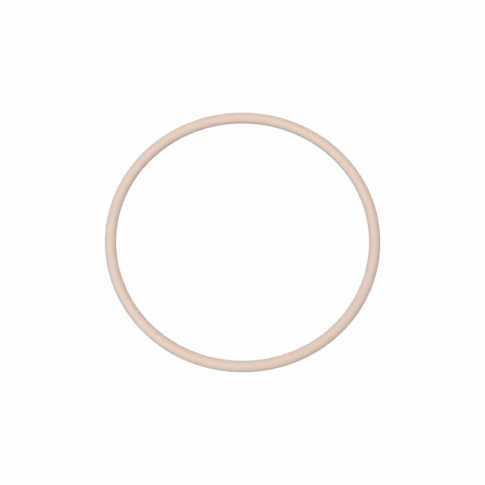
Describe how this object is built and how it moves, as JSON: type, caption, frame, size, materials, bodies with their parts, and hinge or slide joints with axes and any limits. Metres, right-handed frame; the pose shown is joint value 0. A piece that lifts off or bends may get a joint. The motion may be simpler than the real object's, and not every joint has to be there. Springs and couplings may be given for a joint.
{
  "type": "rhythmic hoop",
  "caption": "Rhythmic gymnastics hoop: a hollow round plastic tube bent into a circle, its ends butted over a curved inner plug and pinned through the inner wall.",
  "frame": {"origin": "centre of the ring, on the hoop's axis and in its middle plane", "axes": "+Z along the hoop's axis, with the hoop lying flat; the butt joint of the tube is at -Y, and +X is to the right of it"},
  "size_m": [0.6, 0.6, 0.0242],
  "materials": {
    "tube": "satin polyethylene in a pale beige, coloured right through, with fine lengthwise extrusion marks",
    "plug": "natural moulded polypropylene, lightly matt",
    "pin": "zinc-plated steel, satin"
  },
  "bodies": {
    "root": {"tube": "tube", "joint_plug": "plug", "lock_pin_1": "pin", "lock_pin_2": "pin", "lock_pin_3": "pin", "lock_pin_4": "pin"}
  },
  "joints": []
}
